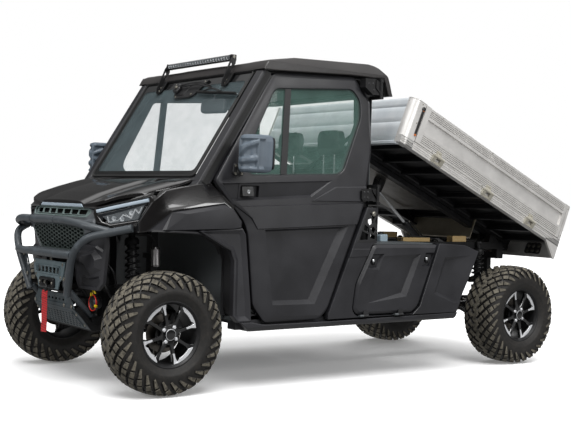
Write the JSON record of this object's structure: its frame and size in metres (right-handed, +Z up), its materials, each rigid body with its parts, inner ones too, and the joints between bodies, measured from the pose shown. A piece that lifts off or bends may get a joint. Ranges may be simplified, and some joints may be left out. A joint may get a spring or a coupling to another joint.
{
  "type": "side-by-side utility vehicle",
  "caption": "Side-by-side utility vehicle with an enclosed cab, tubular front bumper and a raised drop-side tipping bed.",
  "frame": {"origin": "on the ground, midway between the axles on the centre plane, at the bottom centre of the bounding box", "axes": "+X forward, +Y to the vehicle's left, +Z up"},
  "size_m": [3.7971, 2, 1.966],
  "materials": {
    "black_frame_paint": "satin powder coat",
    "bumper_paint": "satin textured powder coat",
    "winch_metal": "satin grey-green",
    "black_moulding": "moulded, fine grain",
    "grey_moulding": "moulded, fine grain",
    "wing_moulding": "moulded, fine grain",
    "roof_moulding": "satin",
    "gloss_panel": "gloss",
    "mirror_moulding": "moulded",
    "lamp": "clear lens over a dark housing",
    "tinted_glass": "polished, green tint",
    "seat_vinyl": "embossed vinyl",
    "red_webbing": "woven",
    "steering_rubber": "grained",
    "engine_casting": "cast",
    "steel": "bright",
    "cylinder_paint": "satin",
    "tyre_rubber": "moulded",
    "wheel_alloy": "gloss black with machined faces",
    "bed_aluminium": "brushed, anodised"
  },
  "bodies": {
    "chassis": {"axles": "black_frame_paint", "cab_cage": "black_frame_paint", "cab_glass": "tinted_glass", "chassis_frame": "black_frame_paint", "dashboard": "black_moulding", "engine_block": "engine_casting", "floor_pan": "black_frame_paint", "front_bumper": "bumper_paint", "front_fascia": "grey_moulding", "front_wing_left": "wing_moulding", "front_wing_right": "wing_moulding", "grille": "black_moulding", "headlamps": "lamp", "headrests": "seat_vinyl", "light_bar": "black_frame_paint", "rear_hubs": "black_frame_paint", "rear_wall": "black_frame_paint", "roof": "roof_moulding", "seat_back": "seat_vinyl", "seat_base": "seat_vinyl", "shocks": "steel", "side_box_left": "grey_moulding", "side_box_right": "grey_moulding", "sills": "grey_moulding", "skid_plate": "black_frame_paint", "suspension_arms": "black_frame_paint", "winch": "winch_metal", "winch_strap": "red_webbing"},
    "hood": {"hood": "gloss_panel"},
    "door_left": {"door_left": "grey_moulding", "door_glass_left": "tinted_glass", "mirror_left": "mirror_moulding"},
    "door_right": {"door_right": "grey_moulding", "door_glass_right": "tinted_glass", "mirror_right": "mirror_moulding"},
    "storage_door_left": {"storage_door_left": "grey_moulding"},
    "storage_door_right": {"storage_door_right": "grey_moulding"},
    "knuckle_left": {"knuckle_left": "black_frame_paint"},
    "knuckle_right": {"knuckle_right": "black_frame_paint"},
    "wheel_front_left": {"tyre_front_left": "tyre_rubber", "wheel_front_left": "wheel_alloy"},
    "wheel_front_right": {"tyre_front_right": "tyre_rubber", "wheel_front_right": "wheel_alloy"},
    "wheel_rear_left": {"tyre_rear_left": "tyre_rubber", "wheel_rear_left": "wheel_alloy"},
    "wheel_rear_right": {"tyre_rear_right": "tyre_rubber", "wheel_rear_right": "wheel_alloy"},
    "steering_wheel": {"steering_wheel": "steering_rubber"},
    "steering_rack": {"steering_rack": "steel"},
    "bed": {"bed_frame": "bed_aluminium", "bed_floor": "bed_aluminium", "headboard": "bed_aluminium"},
    "side_board_left": {"side_board_left": "bed_aluminium"},
    "side_board_right": {"side_board_right": "bed_aluminium"},
    "tailgate": {"tailgate": "bed_aluminium"},
    "lift_barrel": {"lift_barrel": "cylinder_paint"},
    "lift_rod": {"lift_rod": "steel"}
  },
  "joints": [
    {"name": "hood_hinge", "type": "hinge", "parent": "chassis", "child": "hood", "pos_m": [1.252, 0, 1.19], "axis": [0, -1, 0], "range_deg": [0, 50]},
    {"name": "door_left_hinge", "type": "hinge", "parent": "chassis", "child": "door_left", "pos_m": [-0.014, 0.789, 1.4765], "axis": [0, 0, 1], "range_deg": [0, 75]},
    {"name": "door_right_hinge", "type": "hinge", "parent": "chassis", "child": "door_right", "pos_m": [-0.014, -0.789, 1.4765], "axis": [0, 0, -1], "range_deg": [0, 75]},
    {"name": "storage_left_hinge", "type": "hinge", "parent": "chassis", "child": "storage_door_left", "pos_m": [-0.1, 0.7915, 0.398], "axis": [-1, 0, 0], "range_deg": [0, 100]},
    {"name": "storage_right_hinge", "type": "hinge", "parent": "chassis", "child": "storage_door_right", "pos_m": [-0.1, -0.7915, 0.398], "axis": [1, 0, 0], "range_deg": [0, 100]},
    {"name": "steer_left", "type": "hinge", "parent": "chassis", "child": "knuckle_left", "pos_m": [1.427, 0.625, 0.343], "axis": [0, 0, 1], "range_deg": [-30, 30]},
    {"name": "steer_right", "type": "hinge", "parent": "chassis", "child": "knuckle_right", "pos_m": [1.427, -0.625, 0.343], "axis": [0, 0, 1], "range_deg": [-30, 30]},
    {"name": "rack_slide", "type": "slide", "parent": "chassis", "child": "steering_rack", "axis": [0, 1, 0], "range_m": [-0.046, 0.046]},
    {"name": "steering_wheel_turn", "type": "hinge", "parent": "chassis", "child": "steering_wheel", "pos_m": [0.716, 0.33, 1.128], "axis": [-0.8829, 0, 0.4695], "range_deg": [-275, 275]},
    {"name": "spin_front_left", "type": "hinge", "parent": "knuckle_left", "child": "wheel_front_left", "pos_m": [1.427, 0.676, 0.343], "axis": [0, 1, 0], "continuous": true},
    {"name": "spin_front_right", "type": "hinge", "parent": "knuckle_right", "child": "wheel_front_right", "pos_m": [1.427, -0.676, 0.343], "axis": [0, 1, 0], "continuous": true},
    {"name": "spin_rear_left", "type": "hinge", "parent": "chassis", "child": "wheel_rear_left", "pos_m": [-1.427, 0.635, 0.343], "axis": [0, 1, 0], "continuous": true},
    {"name": "spin_rear_right", "type": "hinge", "parent": "chassis", "child": "wheel_rear_right", "pos_m": [-1.427, -0.635, 0.343], "axis": [0, 1, 0], "continuous": true},
    {"name": "bed_tilt", "type": "hinge", "parent": "chassis", "child": "bed", "pos_m": [-1.49, 0, 0.858], "axis": [0, -1, 0], "range_deg": [-23, 17]},
    {"name": "lift_barrel_swing", "type": "hinge", "parent": "chassis", "child": "lift_barrel", "pos_m": [-1.272, 0.15, 0.612], "axis": [0, -1, 0], "range_deg": [-24, 18]},
    {"name": "lift_rod_slide", "type": "slide", "parent": "lift_barrel", "child": "lift_rod", "axis": [0.7701, 0, 0.6379], "range_m": [-0.125, 0.094]},
    {"name": "side_board_left_hinge", "type": "hinge", "parent": "bed", "child": "side_board_left", "pos_m": [-1.54158, 0.776, 0.97951], "axis": [-0.9205, 0, -0.3907], "range_deg": [0, 180]},
    {"name": "side_board_right_hinge", "type": "hinge", "parent": "bed", "child": "side_board_right", "pos_m": [-1.54158, -0.776, 0.97951], "axis": [0.9205, 0, 0.3907], "range_deg": [0, 180]},
    {"name": "tailgate_hinge", "type": "hinge", "parent": "bed", "child": "tailgate", "pos_m": [-1.81865, 0, 0.8619], "axis": [0, -1, 0], "range_deg": [0, 90]}
  ],
  "couplings": [
    {"joint": "steer_right", "follows": "steer_left", "ratio": 1},
    {"joint": "rack_slide", "follows": "steer_left", "m_per_rad": -0.08},
    {"joint": "steering_wheel_turn", "follows": "steer_left", "ratio": 9},
    {"joint": "lift_barrel_swing", "follows": "bed_tilt", "ratio": 1.03},
    {"joint": "lift_rod_slide", "follows": "bed_tilt", "m_per_rad": 0.3}
  ]
}
